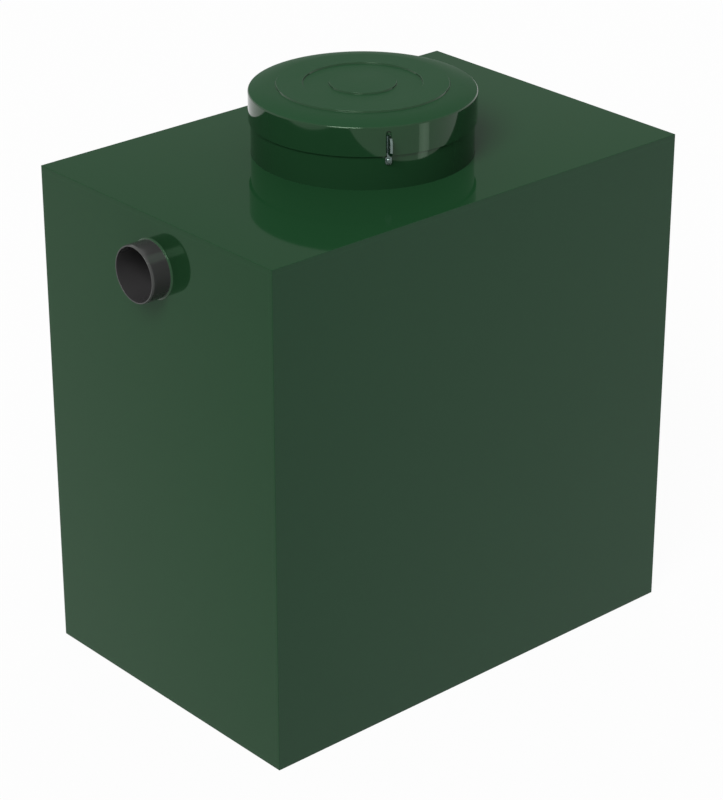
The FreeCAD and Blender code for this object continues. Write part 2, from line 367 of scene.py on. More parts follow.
def makeEdgeWear():  # 1 along convex edges, from how far a rounded normal leans from the true one
    s = wearSetting
    group, given, out = newGroup(
        "edgeWear",
        [("Width", "NodeSocketFloat", s["width"]), ("Reach", "NodeSocketFloat", s["reach"])],
        [("Mask", "NodeSocketFloat")])
    softened = addNode(group, "ShaderNodeBevel", {"Radius": given.outputs["Width"]}, samples=s["samples"])
    true = addNode(group, "ShaderNodeNewGeometry")
    lean = addNode(group, "ShaderNodeVectorMath", {0: softened.outputs[0], 1: true.outputs["Normal"]},
                   operation="DOT_PRODUCT")
    away = worked(group, "SUBTRACT", 1.0, lean.outputs["Value"])
    mask = addNode(group, "ShaderNodeMapRange", {"Value": away, "From Min": s["threshold"],
                                                 "From Max": given.outputs["Reach"]})
    group.links.new(mask.outputs[0], out.inputs["Mask"])
    return group


waveSetting = {
    "scale": 9.0,
    "grain": 0.1,
    "broadDetail": 1.0,
    "fineScale": 900.0,
    "fineDetail": 2.0,
}


def makeSurfaceWave():  # very shallow unevenness of a rolled or moulded face
    s = waveSetting
    group, given, out = newGroup(
        "surfaceWave",
        [("Scale", "NodeSocketFloat", s["scale"]), ("Grain", "NodeSocketFloat", s["grain"])],
        [("Height", "NodeSocketFloat")])
    place = addNode(group, "ShaderNodeTexCoord").outputs["Object"]
    broad = cloudy(group, place, given.outputs["Scale"], s["broadDetail"])
    fine = cloudy(group, place, s["fineScale"], s["fineDetail"])
    scaled = worked(group, "MULTIPLY", fine, given.outputs["Grain"])
    group.links.new(worked(group, "ADD", broad, scaled), out.inputs["Height"])
    return group


mottle = makeMottle()
scuffs = makeScuffs()
edgeWear = makeEdgeWear()
surfaceWave = makeSurfaceWave()
print("shader groups made")


# Finishes: what is even over the surface is set on the shader, what varies comes through the groups

dullMottle = (0.3, 0.7)  # the mottle's range over which the roughness runs from its low to its high value


def newFinish(name, look):
    material = bpy.data.materials.new(name)
    material.use_nodes = True
    tree = material.node_tree
    shader = tree.nodes["Principled BSDF"]
    shader.inputs["IOR"].default_value = look["ior"]
    shader.inputs["Metallic"].default_value = look["metallic"]
    shader.inputs["Specular Tint"].default_value = (*look["glossTint"], 1)
    mottled = addNode(tree, "ShaderNodeGroup", node_tree=mottle)
    mottled.inputs["Colour"].default_value = (*look["colour"], 1)
    mottled.inputs["Scale"].default_value = look["mottleScale"]
    mottled.inputs["Amount"].default_value = look["mottleAmount"]
    scratched = addNode(tree, "ShaderNodeGroup", node_tree=scuffs)
    scratched.inputs["Scale"].default_value = look["scuffScale"]
    scratched.inputs["Share"].default_value = look["scuffShare"]
    worn = addNode(tree, "ShaderNodeGroup", node_tree=edgeWear)
    worn.inputs["Width"].default_value = look["wearWidth"]
    edged = worked(tree, "MULTIPLY", worn.outputs["Mask"], look["wearShare"])
    marks = worked(tree, "MULTIPLY", scratched.outputs["Mask"], look["scuffTint"])
    pale = worked(tree, "MAXIMUM", edged, marks)
    colour = addNode(tree, "ShaderNodeMix", {"Factor": pale, "A": mottled.outputs["Colour"],
                                             "B": (*look["wornColour"], 1)}, data_type="RGBA")
    tree.links.new(openSocket(colour.outputs, "Result"), shader.inputs["Base Color"])
    dull = addNode(tree, "ShaderNodeMapRange", {
        "Value": mottled.outputs["Mask"],
        "From Min": dullMottle[0],
        "From Max": dullMottle[1],
        "To Min": look["roughness"][0],
        "To Max": look["roughness"][1],
    })
    scored = worked(tree, "MULTIPLY", scratched.outputs["Mask"], look["scuffRough"])
    rough = worked(tree, "ADD", dull.outputs[0], scored)
    tree.links.new(rough, shader.inputs["Roughness"])
    waves = addNode(tree, "ShaderNodeGroup", node_tree=surfaceWave)
    waves.inputs["Scale"].default_value = look["waveScale"]
    waves.inputs["Grain"].default_value = look["waveGrain"]
    bump = addNode(tree, "ShaderNodeBump", {"Strength": look["bump"], "Distance": look["bumpDepth"],
                                            "Height": waves.outputs["Height"]})
    tree.links.new(bump.outputs[0], shader.inputs["Normal"])
    return material


sheetLook = {
    "colour": (0.008, 0.033, 0.012),
    "wornColour": (0.030, 0.085, 0.045),
    "ior": 1.355,
    "metallic": 0.0,
    "glossTint": (0.5, 1.0, 0.7),
    "roughness": (0.04, 0.07),
    "mottleScale": 2.5,
    "mottleAmount": 0.10,
    "scuffScale": 2.2,
    "scuffShare": 0.5,
    "scuffTint": 0.05,
    "scuffRough": 0.10,
    "wearWidth": 0.0012,
    "wearShare": 0.35,
    "waveScale": 1.6,
    "waveGrain": 0.004,
    "bump": 0.10,
    "bumpDepth": 0.002,
}
# The tank's green sheet comes as lit and shaded copies, one per face direction: the flats get a lighter
# painted colour, and each direction gets its own reflectivity, the ends also a greener gloss tint, all as
# painted light.
sheetGreenSides = newFinish("sheetGreenSides", sheetLook)
sheetGreenEnds = newFinish("sheetGreenEnds", {**sheetLook, "ior": 1.295, "glossTint": (0.15, 1.0, 0.35)})
sheetGreenFlatsLit = newFinish("sheetGreenFlatsLit", {
    **sheetLook,
    "colour": (0.0110, 0.0515, 0.0185),
    "ior": 1.074,
})

mouldedLook = {
    **sheetLook,
    "colour": (0.0090, 0.0385, 0.0145),
    "glossTint": (0.72, 1.0, 0.74),
    "ior": 1.405,
    "mottleScale": 7.0,
    "waveScale": 5.0,
    "scuffScale": 5.0,
    "wearWidth": 0.0008,
    "bump": 0.06,
}
mouldedGreenRim = newFinish("mouldedGreenRim", mouldedLook)
# The lid's up-facing faces: a rougher fine grain, which is real, and a lighter colour and weaker
# reflectivity than the rim, which are painted light.
mouldedGreenTopLit = newFinish("mouldedGreenTopLit", {
    **mouldedLook,
    "colour": (0.0170, 0.0590, 0.0255),
    "ior": 1.08,
    "roughness": (0.42, 0.50),
})
tubeGreen = newFinish("tubeGreen", {**mouldedLook, "mottleScale": 3.0})

pipeGrey = newFinish("pipeGrey", {
    **sheetLook,
    "colour": (0.037, 0.036, 0.037),
    "glossTint": (0.9, 1.0, 0.9),
    "wornColour": (0.13, 0.13, 0.135),
    "ior": 1.46,
    "roughness": (0.13, 0.22),
    "mottleScale": 30.0,
    "mottleAmount": 0.25,
    "scuffScale": 14.0,
    "scuffTint": 0.25,
    "wearWidth": 0.0007,
    "wearShare": 0.7,
    "waveScale": 14.0,
    "waveGrain": 0.05,
    "bump": 0.25,
    "bumpDepth": 0.0006,
})

sealBlack = newFinish("sealBlack", {
    **sheetLook,
    "colour": (0.012, 0.012, 0.012),
    "glossTint": (1.0, 1.0, 1.0),
    "wornColour": (0.03, 0.03, 0.03),
    "ior": 1.5,
    "roughness": (0.45, 0.62),
    "mottleScale": 60.0,
    "mottleAmount": 0.3,
    "scuffScale": 20.0,
    "waveScale": 80.0,
    "waveGrain": 0.4,
    "bump": 0.3,
    "bumpDepth": 0.0003,
})

stainless = newFinish("stainless", {
    **sheetLook,
    "colour": (0.15, 0.20, 0.185),
    "glossTint": (0.9, 1.0, 1.0),
    "wornColour": (0.75, 0.78, 0.78),
    "ior": 2.0,
    "metallic": 1.0,
    "roughness": (0.16, 0.30),
    "mottleScale": 120.0,
    "mottleAmount": 0.2,
    "scuffScale": 60.0,
    "scuffTint": 0.2,
    "wearWidth": 0.0005,
    "wearShare": 0.6,
    "waveScale": 200.0,
    "waveGrain": 0.3,
    "bump": 0.2,
    "bumpDepth": 0.0001,
})
print("finishes made")


# Tank sheets: butt joints stay closed, only the tank's own outer edges are eased

sheetSizes = {
    "edgeRound": 0.0009,
    "edgeSteps": 2,
    "onFace": 0.00005,
    "flatAngle": 1,
}


def onOuterEdge(point):
    low = Vector((places["inletFace"], places["frontFace"], places["tankLow"].z))
    high = Vector((places["outletFace"], places["rearFace"], places["topFace"]))
    gaps = [min(abs(point[k] - low[k]), abs(point[k] - high[k])) for k in range(3)]
    return sum(gap < sheetSizes["onFace"] for gap in gaps) >= 2


def sheetPiece(name, node):
    piece = mergedCopy(name, node)
    shape = bmesh.new()
    shape.from_mesh(piece.data)
    flat = math.radians(sheetSizes["flatAngle"])
    bmesh.ops.dissolve_limit(shape, angle_limit=flat, verts=shape.verts, edges=shape.edges)
    outer = []
    for edge in shape.edges:
        start, end = [vertex.co for vertex in edge.verts]
        if onOuterEdge(start) and onOuterEdge(end) and onOuterEdge((start + end) / 2):
            outer.append(edge)
    bmesh.ops.bevel(shape, geom=outer, offset=sheetSizes["edgeRound"], offset_type="OFFSET",
                    segments=sheetSizes["edgeSteps"], profile=0.5, affect="EDGES")
    # each face takes the copy for its direction, so the painted light follows which way the face points
    for face in shape.faces:
        ways = [abs(value) for value in face.normal]
        face.material_index = ways.index(max(ways))
    shape.to_mesh(piece.data)
    shape.free()
    for material in (sheetGreenEnds, sheetGreenSides, sheetGreenFlatsLit):
        piece.data.materials.append(material)
    markCreases(piece.data)
    evenShading(piece)
    finishPiece(piece, None, "tank", "green_sheet", node)


for name, node in (("bottom_sheet", "floor_plate"), ("front_sheet", "front_wall"),
                   ("rear_sheet", "rear_wall"), ("inlet_sheet", "inlet_wall"),
                   ("outlet_sheet", "outlet_wall"), ("top_sheet", "top_plate")):
    sheetPiece(name, node)
for node in ("sludge_weir", "grease_baffle", "lower_rib_front", "upper_rib_front", "lower_rib_rear",
             "upper_rib_rear", "inlet_pipe_bracket", "outlet_pipe_bracket"):
    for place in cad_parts[node].material_slots:
        place.material = sheetGreenSides
print("tank sheets made")


# Neck, its seal and the lid, all turned about the manhole's axis

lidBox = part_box("lid")
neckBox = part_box("neck")
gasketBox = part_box("neck_gasket")
neckSizes = {
    "wall": 0.006,
    "edgeRound": 0.0008,
    "edgeSteps": 3,
}
gasketSizes = {
    "legThickness": 0.002,
    "softRound": 0.0007,
    "domeRound": 0.00299,
    "domeSteps": 8,
    "segments": 160,
}
lidSizes = {
    "skirtWall": 0.003,
    "wall": 0.004,
    "skirtLength": 0.056,
    "slopeRise": 0.0095,
    "stepHeight": 0.003,
    "stepDraft": 0.001,
    "seatDepth": 0.004,
    "seatWidth": 0.011,
    "outerStep": 0.1625,
    "innerStep": 0.112,
    "disc": 0.0635,
    "edgeRound": 0.0035,
    "stepRound": 0.0007,
    "stepFillet": 0.0004,
    "crownSteps": 10,
    "hemRound": 0.0003,
    "segments": 192,
    "topFacing": 0.85,  # faces that point up more than this get the top's finish: a rougher fine grain, with a lighter colour and weaker reflectivity that are painted light
}
notchSizes = {
    "width": 0.010,
    "topDrop": 0.008,
    "inset": 0.004,  # how far inside the skirt's bore its cutter starts
    "segments": 40,
}
eyeAngle = math.radians(-119)  # where the eye stands around the neck


def atEye(point):
    return Matrix.Rotation(eyeAngle, 4, "Z") @ Vector(point)


def makeNeck():
    outer = neckBox[1].x
    inner = outer - neckSizes["wall"]
    easing = neckSizes["edgeRound"]
    outline = roundedOutline([(inner, neckBox[0].z, easing), (outer, neckBox[0].z, easing),
                              (outer, neckBox[1].z, easing), (inner, neckBox[1].z, easing)],
                             neckSizes["edgeSteps"])
    tube = turnedPiece("manhole_neck", outline, lidSizes["segments"])
    level = (boltBox[0].z + boltBox[1].z) / 2
    cutWith(tube, rodCutter(eyeSizes["boltHole"], atEye((inner - overrun, 0, level)),
                            atEye((outer + overrun, 0, level)), boltSizes["segments"]))
    markCreases(tube.data)
    evenShading(tube)
    finishPiece(tube, tubeGreen, "tank", "green_sheet", "neck")


def makeGasket():
    outer = gasketBox[1].x
    top = gasketBox[1].z
    bottom = gasketBox[0].z
    rim = neckBox[1].z
    neckInner = neckBox[1].x - neckSizes["wall"]
    legInner = neckInner - gasketSizes["legThickness"]
    shoulder = top - neckSizes["wall"] / 2
    soft = gasketSizes["softRound"]
    outline = roundedOutline([
        (outer, rim, 0),
        (outer, top, gasketSizes["domeRound"]),
        (neckInner, top, gasketSizes["domeRound"]),
        (neckInner, shoulder, 0),
        (legInner, shoulder - gasketSizes["legThickness"], soft),
        (legInner, bottom, soft),
        (neckInner, bottom, 0),
        (neckInner, rim, 0),
    ], gasketSizes["domeSteps"])
    seal = turnedPiece("rim_seal", outline, gasketSizes["segments"])
    markCreases(seal.data)
    evenShading(seal)
    finishPiece(seal, sealBlack, "tank", "black_rubber", "neck_gasket")


def makeLid():
    s = lidSizes
    radius = lidBox[1].x
    skirtFoot = lidBox[0].z
    edge = skirtFoot + s["skirtLength"]
    shelf = edge + s["slopeRise"]
    raised = shelf + s["stepHeight"]
    slope = s["slopeRise"] / (radius - s["outerStep"])
    skirtBore = radius - s["skirtWall"]
    seatInner = skirtBore - s["seatWidth"]
    seatRoot = edge + (radius - seatInner) * slope - s["wall"]
    outerTop = s["outerStep"] - s["stepDraft"]
    innerFoot = s["innerStep"] - s["stepDraft"]
    discTop = s["disc"] - s["stepDraft"]
    crest = s["stepRound"]
    foot = s["stepFillet"]
    under = s["wall"]
    crown = []  # the slope bows up, level at the step and steepest at the rim
    for step in range(1, s["crownSteps"]):
        out = 1 - step / s["crownSteps"]
        reach = s["outerStep"] + out * (radius - s["outerStep"])
        crown.append((reach, edge + s["slopeRise"] * (1 - out ** 2), 0))
    outline = roundedOutline([
        (radius, skirtFoot, s["hemRound"]),
        (radius, edge, s["edgeRound"]),
        *crown,
        (s["outerStep"], shelf, foot),
        (outerTop, raised, crest),
        (s["innerStep"], raised, crest),
        (innerFoot, shelf, foot),
        (s["disc"], shelf, foot),
        (discTop, raised, crest),
        (0, raised, 0),
        (0, raised - under, 0),
        (discTop - under, raised - under, foot),
        (s["disc"] - under, shelf - under, crest),
        (innerFoot + under, shelf - under, crest),
        (s["innerStep"] + under, raised - under, foot),
        (outerTop - under, raised - under, foot),
        (s["outerStep"] - under, shelf - under, crest),
        (seatInner, seatRoot, crest),
        (seatInner, edge - s["seatDepth"], s["hemRound"]),
        (skirtBore, edge - s["seatDepth"], foot),
        (skirtBore, skirtFoot, s["hemRound"]),
    ])
    cover = turnedPiece("lid_cover", outline, s["segments"])
    half = notchSizes["width"] / 2
    archLevel = edge - notchSizes["topDrop"] - half
    inside = skirtBore - notchSizes["inset"]
    outside = radius + overrun
    slot = boxCutter((inside, -half, skirtFoot - overrun), (outside, half, archLevel))
    movePiece(slot, Matrix.Rotation(eyeAngle, 4, "Z"))
    cutWith(cover, slot)
    cutWith(cover, rodCutter(half, atEye((inside, 0, archLevel)), atEye((outside, 0, archLevel)),
                             notchSizes["segments"]))
    cover.data.materials.clear()
    cover.data.materials.append(mouldedGreenTopLit)
    cover.data.materials.append(mouldedGreenRim)
    # up-facing faces take the lighter top finish, painted light on the lid's top
    for face in cover.data.polygons:
        face.material_index = 0 if face.normal.z > s["topFacing"] else 1
    markCreases(cover.data)
    evenShading(cover)
    finishPiece(cover, None, "lid", "green_moulding", "lid")


# Padlock eye and its bolt, drawn in the eye's own frame with X pointing out of the neck

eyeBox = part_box("neck_eye")
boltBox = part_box("eye_bolt")
eyeSizes = {
    "gap": 0.0003,
    "plate": 0.003,
    "footWidth": 0.012,
    "footHeight": 0.014,
    "stemWidth": 0.006,
    "finThickness": 0.004,
    "finReach": 0.026,
    "finHeight": 0.034,
    "finRound": 0.009,
    "hole": 0.0045,
    "boltHole": 0.0028,
    "edgeRound": 0.0005,
    "edgeSteps": 2,
    "easedAngle": 40,
    "footRound": 0.003,
    "finStart": 0.0001,  # how far outside the plate's back the fin begins
    "footSteps": 6,
    "finSteps": 10,
    "holeSegments": 40,
}
boltSizes = {
    "shank": 0.0025,
    "acrossFlats": 0.008,
    "headHeight": 0.0035,
    "nutHeight": 0.004,
    "washer": 0.005,
    "washerThickness": 0.001,
    "threadPitch": 0.0008,
    "threadDepth": 0.0003,
    "threadStart": 0.25,  # in pitches
    "threadEnd": 0.7,
    "crestDrop": 0.00005,
    "plainLength": 0.008,
    "headOverlap": 0.0005,
    "tail": 0.002,
    "crown": 0.0003,
    "washerRound": 0.0002,
    "washerSteps": 2,
    "segments": 32,
    "turnedSegments": 64,
    "creaseAngle": 28,
}
hexagonSides = 6


def roundedPlate(width, height, rounding, thickness, steps):  # flat in Y and Z, X from 0 to its thickness
    shape = bmesh.new()
    corners = []
    for quarter, (sy, sz) in enumerate(((1, 1), (-1, 1), (-1, -1), (1, -1))):
        for step in range(steps + 1):
            angle = math.radians(90 * quarter + 90 * step / steps)
            corners.append(shape.verts.new((0, sy * (width / 2 - rounding) + rounding * math.cos(angle),
                                            sz * (height / 2 - rounding) + rounding * math.sin(angle))))
    face = shape.faces.new(corners)
    made = bmesh.ops.extrude_face_region(shape, geom=[face])
    moved = [item for item in made["geom"] if isinstance(item, bmesh.types.BMVert)]
    bmesh.ops.translate(shape, vec=(thickness, 0, 0), verts=moved)
    bmesh.ops.recalc_face_normals(shape, faces=shape.faces)
    mesh = bpy.data.meshes.new("plate")
    shape.to_mesh(mesh)
    shape.free()
    return linkPiece("plate", mesh)


def easeEdges(piece):
    modifier = piece.modifiers.new("ease", "BEVEL")
    modifier.width = eyeSizes["edgeRound"]
    modifier.segments = eyeSizes["edgeSteps"]
    modifier.limit_method = "ANGLE"
    modifier.angle_limit = math.radians(eyeSizes["easedAngle"])
    return freshMesh(piece)


def makeEye():
    s = eyeSizes
    back = neckBox[1].x + s["gap"]
    footLow = eyeBox[0].z
    top = eyeBox[1].z
    finLow = top - s["finHeight"]
    level = footLow + s["footHeight"] / 2
    middle = finLow + s["finHeight"] / 2
    foot = roundedPlate(s["footWidth"], s["footHeight"], s["footRound"], s["plate"], s["footSteps"])
    movePiece(foot, Matrix.Translation((back, 0, level)))
    stem = boxCutter((back, -s["stemWidth"] / 2, level), (back + s["plate"], s["stemWidth"] / 2, top))
    joinWith(foot, stem)
    reach = s["finReach"]
    fin = roundedPlate(2 * reach, s["finHeight"], s["finRound"], s["finThickness"], s["finSteps"])
    movePiece(fin, Matrix.Translation((back, s["finThickness"] / 2, middle))
              @ Matrix.Rotation(math.radians(-90), 4, "Z"))
    behind = boxCutter((back - 2 * reach, -reach, finLow - reach),
                       (back + s["finStart"], reach, top + reach))
    cutWith(fin, behind)
    joinWith(foot, fin)
    holeAt = back + reach - s["finRound"]
    cutWith(foot, rodCutter(s["hole"], (holeAt, -2 * overrun, middle), (holeAt, 2 * overrun, middle),
                            s["holeSegments"]))
    cutWith(foot, rodCutter(s["boltHole"], (back - overrun, 0, level), (back + 2 * overrun, 0, level),
                            boltSizes["segments"]))
    easeEdges(foot)
    foot.name = "padlock_eye"
    movePiece(foot, Matrix.Rotation(eyeAngle, 4, "Z"))
    markCreases(foot.data)
    evenShading(foot)
    finishPiece(foot, stainless, "tank", "stainless", "neck_eye")


def hexagonPiece(name, height):  # along Z from 0, its corners turned down towards the top
    s = boltSizes
    corner = s["acrossFlats"] / 2 / math.cos(math.pi / hexagonSides)
    shape = bmesh.new()
    bmesh.ops.create_cone(shape, cap_ends=True, segments=hexagonSides, radius1=corner, radius2=corner,
                          depth=height)
    bmesh.ops.translate(shape, vec=(0, 0, height / 2), verts=shape.verts)
    mesh = bpy.data.meshes.new(name)
    shape.to_mesh(mesh)
    shape.free()
    piece = linkPiece(name, mesh)
    cone = turnedPiece("cone", [
        Vector((0, -height)),
        Vector((corner + 2 * height, -height)),
        Vector((s["acrossFlats"] / 2 - s["crown"], height)),
        Vector((0, height)),
    ], s["turnedSegments"])
    return combined(piece, cone, "INTERSECT")


def makeBolt():
    s = boltSizes
    level = (boltBox[0].z + boltBox[1].z) / 2
    headFace = neckBox[1].x + eyeSizes["gap"] + eyeSizes["plate"]
    neckInner = neckBox[1].x - neckSizes["wall"]
    washerFace = math.sqrt(neckInner ** 2 - s["washer"] ** 2) - s["washerThickness"]
    nutFace = washerFace - s["nutHeight"]
    tail = nutFace - s["tail"]
    out = Matrix.Rotation(eyeAngle, 4, "Z")
    along = Matrix.Rotation(math.radians(90), 4, "Y")
    head = hexagonPiece("hex_bolt", s["headHeight"])
    movePiece(head, Matrix.Translation((headFace, 0, level)) @ along)
    root = s["shank"] - s["threadDepth"]
    crest = s["shank"] - s["crestDrop"]
    shankEnd = headFace - tail + s["headOverlap"]
    turns = int((headFace - tail - s["plainLength"]) / s["threadPitch"])
    threads = [Vector((0, 0)), Vector((root, 0))]
    for turnNumber in range(turns):
        start = (turnNumber + s["threadStart"]) * s["threadPitch"]
        threads.append(Vector((root, start)))
        threads.append(Vector((crest, start + s["threadPitch"] / 2)))
    threads.append(Vector((root, (turns + s["threadStart"]) * s["threadPitch"])))
    threads.append(Vector((s["shank"], (turns + s["threadEnd"]) * s["threadPitch"])))
    threads.append(Vector((s["shank"], shankEnd)))
    threads.append(Vector((0, shankEnd)))
    shank = turnedPiece("shank", threads, s["segments"])
    movePiece(shank, Matrix.Translation((tail, 0, level)) @ along)
    joinWith(head, shank)
    movePiece(head, out)
    markCreases(head.data, s["creaseAngle"])
    evenShading(head)
    finishPiece(head, stainless, "tank", "stainless", "eye_bolt")
    easing = s["washerRound"]
    ringOutline = roundedOutline([(eyeSizes["boltHole"], 0, easing), (s["washer"], 0, easing),
                                  (s["washer"], s["washerThickness"], easing),
                                  (eyeSizes["boltHole"], s["washerThickness"], easing)],
                                 s["washerSteps"])
    ring = turnedPiece("flat_washer", ringOutline, s["turnedSegments"])
    movePiece(ring, out @ Matrix.Translation((washerFace, 0, level)) @ along)
    markCreases(ring.data)
    evenShading(ring)
    finishPiece(ring, stainless, "tank", "stainless", "eye_washer")
    nut = hexagonPiece("hex_nut", s["nutHeight"])
    cutWith(nut, rodCutter(s["shank"], (0, 0, -overrun), (0, 0, 2 * overrun), s["segments"]))
    movePiece(nut, out @ Matrix.Translation((nutFace, 0, level)) @ along)
    markCreases(nut.data)
    evenShading(nut)
    finishPiece(nut, stainless, "tank", "stainless", "eye_nut")


makeNeck()
makeGasket()
makeLid()
makeEye()
makeBolt()
print("neck, lid and eye made")


# Pipework: the stubs are turned afresh, the hidden tees and dip pipes are merged copies

stubSizes = {
    "wall": 0.0032,
    "chamferLength": 0.004,
    "chamferDepth": 0.0012,
    "edgeRound": 0.0004,
    "edgeSteps": 3,
    "weldLeg": 0.003,
    "weldBulge": (0.8, 0.55),  # the bead's middle, in legs out from the pipe and from the wall
    "weldRound": 0.0008,
    "weldEdge": 0.0004,
    "segments": 128,
    "fittingCrease": 25,
}


def makeStub(name, node, side):
    s = stubSizes
    low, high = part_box(node)
    axis = (low + high) / 2
    bead = (high.z - low.z) / 2
    radius = bead - s["weldLeg"]
    bore = radius - s["wall"]
    wallFace = places["outletFace"] if side > 0 else places["inletFace"]
    mouth = abs((high.x if side > 0 else low.x) - wallFace)
    root = -abs((low.x if side > 0 else high.x) - wallFace)
    easing = s["edgeRound"]
    outline = roundedOutline([
        (bore, root, easing),
        (radius, root, easing),
        (radius, 0, 0),
        (bead, 0, 0),
        (radius + s["weldLeg"] * s["weldBulge"][0], s["weldLeg"] * s["weldBulge"][1], s["weldRound"]),
        (radius, s["weldLeg"], s["weldEdge"]),
        (radius, mouth - s["chamferLength"], easing),
        (radius - s["chamferDepth"], mouth, easing),
        (bore, mouth, easing),
    ], s["edgeSteps"])
    stub = turnedPiece(name, outline, s["segments"])
    stub.data.materials.append(pipeGrey)
    stub.data.materials.append(tubeGreen)  # the weld bead is of the tank's plastic
    for face in stub.data.polygons:
        onBead = face.center.z > 0 and face.center.z < s["weldLeg"] and face.center.xy.length > radius
        face.material_index = 1 if onBead else 0
    along = Matrix.Rotation(math.radians(90 * side), 4, "Y")
    movePiece(stub, Matrix.Translation((wallFace, 0, axis.z)) @ along)
    markCreases(stub.data)
    evenShading(stub)
    finishPiece(stub, None, "tank", "grey_pipe", node)


for end, side in (("inlet", -1), ("outlet", 1)):
    makeStub(end + "_stub", end + "_pipe", side)
    for part, finish, slot in (("tee", pipeGrey, "grey_pipe"),
                               ("dip_pipe", pipeGrey, "grey_pipe"),
                               ("tee_seal", sealBlack, "black_rubber"),
                               ("dip_seal", sealBlack, "black_rubber")):
        node = end + "_" + part
        piece = mergedCopy(node + "_fitting", node, stubSizes["fittingCrease"])
        evenShading(piece)
        finishPiece(piece, finish, "tank", slot, node)
print("pipework made")


# Weld beads along the inside corners, one rippled bead per guide line

beadLook = {
    "Bead Radius": 0.0032,
    "Ripple Length": 0.007,
    "Ripple Height": 0.10,
    "Unevenness": 0.05,
    "Seed": 7,
    "Sides": 10,
}
neckBeadSegments = 96


def makeBeadTree():
    tree = bpy.data.node_groups.new("weldBead", "GeometryNodeTree")
    tree.interface.new_socket("Geometry", in_out="INPUT", socket_type="NodeSocketGeometry")
    for label in ("Bead Radius", "Ripple Length", "Ripple Height", "Unevenness"):
        tree.interface.new_socket(label, in_out="INPUT", socket_type="NodeSocketFloat")
    for label in ("Seed", "Sides"):
        tree.interface.new_socket(label, in_out="INPUT", socket_type="NodeSocketInt")
    tree.interface.new_socket("Material", in_out="INPUT", socket_type="NodeSocketMaterial")
    tree.interface.new_socket("Geometry", in_out="OUTPUT", socket_type="NodeSocketGeometry")
    given = tree.nodes.new("NodeGroupInput").outputs
    line = addNode(tree, "GeometryNodeMeshToCurve", {"Mesh": given["Geometry"]})
    stepped = addNode(tree, "GeometryNodeResampleCurve", {"Curve": line.outputs[0]}, mode="LENGTH")
    tree.links.new(worked(tree, "MULTIPLY", given["Ripple Length"], 0.5), stepped.inputs["Length"])
    order = addNode(tree, "GeometryNodeInputIndex").outputs[0]
    swapped = worked(tree, "MODULO", order, 2.0)
    ripple = worked(tree, "MULTIPLY", swapped, given["Ripple Height"])
    chance = addNode(tree, "FunctionNodeRandomValue", {
        "ID": order,
        "Seed": given["Seed"],
    }, data_type="FLOAT")
    uneven = worked(tree, "MULTIPLY", openSocket(chance.outputs, "Value"), given["Unevenness"])
    size = worked(tree, "SUBTRACT", 1.0, worked(tree, "ADD", ripple, uneven))
    ring = addNode(tree, "GeometryNodeCurvePrimitiveCircle", {
        "Resolution": given["Sides"],
        "Radius": given["Bead Radius"],
    })
    bead = addNode(tree, "GeometryNodeCurveToMesh", {
        "Curve": stepped.outputs[0],
        "Profile Curve": ring.outputs[0],
        "Scale": size,
        "Fill Caps": True,
    })
    soft = addNode(tree, "GeometryNodeSetShadeSmooth", {"Geometry": bead.outputs[0]})
    whole = addNode(tree, "GeometryNodeRealizeInstances", {"Geometry": soft.outputs[0]})
    painted = addNode(tree, "GeometryNodeSetMaterial", {
        "Geometry": whole.outputs[0],
        "Material": given["Material"],
    })
    addNode(tree, "NodeGroupOutput", {"Geometry": painted.outputs[0]})
    return tree


def beadLines():  # the two ends of each straight bead
    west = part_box("inlet_wall")[1].x
    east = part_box("outlet_wall")[0].x
    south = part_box("front_wall")[1].y
    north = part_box("rear_wall")[0].y
    low = places["floorFace"]
    high = places["ceiling"]
    lines = []
    for level in (low, high):
        for y in (south, north):
            lines.append(((west, y, level), (east, y, level)))
        for x in (west, east):
            lines.append(((x, south, level), (x, north, level)))
    for x in (west, east):
        for y in (south, north):
            lines.append(((x, y, low), (x, y, high)))
    for node in ("sludge_weir", "grease_baffle"):
        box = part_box(node)
        for x in (box[0].x, box[1].x):
            for y in (south, north):
                lines.append(((x, y, box[0].z), (x, y, box[1].z)))
            foot = box[0].z if node == "sludge_weir" else box[1].z
            lines.append(((x, south, foot), (x, north, foot)))
    for wall, y in (("front", south), ("rear", north)):
        for rib in ("lower_rib_", "upper_rib_"):
            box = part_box(rib + wall)
            for level in (box[0].z, box[1].z):
                lines.append(((box[0].x, y, level), (box[1].x, y, level)))
    for end, x in (("inlet", west), ("outlet", east)):
        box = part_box(end + "_pipe_bracket")
        for level in (box[0].z, box[1].z):
            lines.append(((x, box[0].y, level), (x, box[1].y, level)))
    return lines


def makeBeads():
    points = []
    edges = []
    for start, end in beadLines():
        edges.append((len(points), len(points) + 1))
        points += [start, end]
    first = len(points)  # the ring under the neck's wall starts here
    for k in range(neckBeadSegments):
        angle = 2 * math.pi * k / neckBeadSegments
        points.append((neckBox[1].x * math.cos(angle), neckBox[1].x * math.sin(angle), places["ceiling"]))
        edges.append((first + k, first + (k + 1) % neckBeadSegments))
    mesh = bpy.data.meshes.new("weld_beads")
    mesh.from_pydata(points, edges, [])
    beads = linkPiece("weld_beads", mesh)
    modifier = beads.modifiers.new("beads", "NODES")
    modifier.node_group = makeBeadTree()
    for item in modifier.node_group.interface.items_tree:
        if item.in_out == "INPUT" and item.name in beadLook:
            modifier[item.identifier] = beadLook[item.name]
        elif item.in_out == "INPUT" and item.name == "Material":
            modifier[item.identifier] = tubeGreen
    freshMesh(beads)
    finishPiece(beads, None, "tank", "green_sheet")


makeBeads()
print("weld beads made")


# Stage: pale floor, white surroundings, soft lamps

stageLook = {
    "floorSize": 40.0,
    "floorColour": (0.6, 0.6, 0.6),
    "floorGlow": 0.96,
    "surroundLevel": 0.36,
}


def seenDirectly(tree):  # 1 for camera, glossy and transmission rays
    path = addNode(tree, "ShaderNodeLightPath")
    both = worked(tree, "MAXIMUM", path.outputs["Is Camera Ray"], path.outputs["Is Glossy Ray"])
    return worked(tree, "MAXIMUM", both, path.outputs["Is Transmission Ray"])


